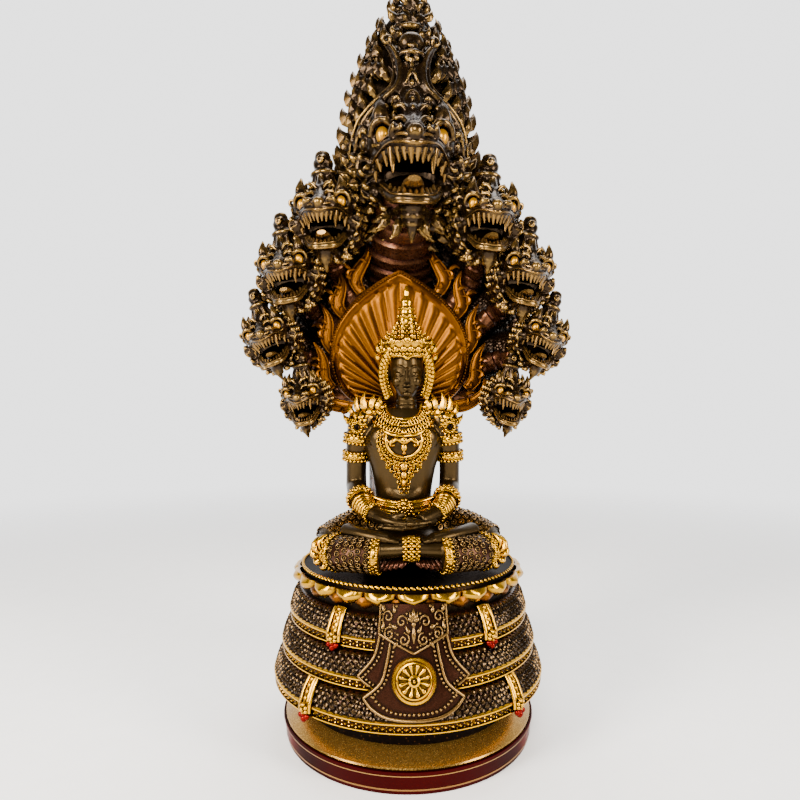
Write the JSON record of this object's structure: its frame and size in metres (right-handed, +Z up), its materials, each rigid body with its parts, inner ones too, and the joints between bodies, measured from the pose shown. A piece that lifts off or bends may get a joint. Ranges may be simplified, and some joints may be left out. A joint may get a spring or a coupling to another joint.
{
  "type": "naga buddha shrine statue",
  "caption": "Crowned Buddha seated in meditation on the coils of a many-headed naga that rises behind as a hood, with a pointed halo, on a round lacquered plinth.",
  "frame": {"origin": "centre of the plinth's flat underside", "axes": "+Z up, the figure looks towards -Y, its left hand is on the +X side"},
  "size_m": [0.1456, 0.1092, 0.2998],
  "materials": {
    "red_lacquer": "deep red gloss lacquer with thin gold lines",
    "bronze_resin": "dark bronze paint on cast resin, edges rubbed bright",
    "antique_gold": "orange gold paint, darker in the grooves",
    "dark_bronze_skin": "satin olive bronze skin with bright gold jewellery"
  },
  "bodies": {
    "root": {"plinth": "red_lacquer", "naga_throne": "bronze_resin", "halo": "antique_gold", "buddha": "dark_bronze_skin"}
  },
  "joints": []
}
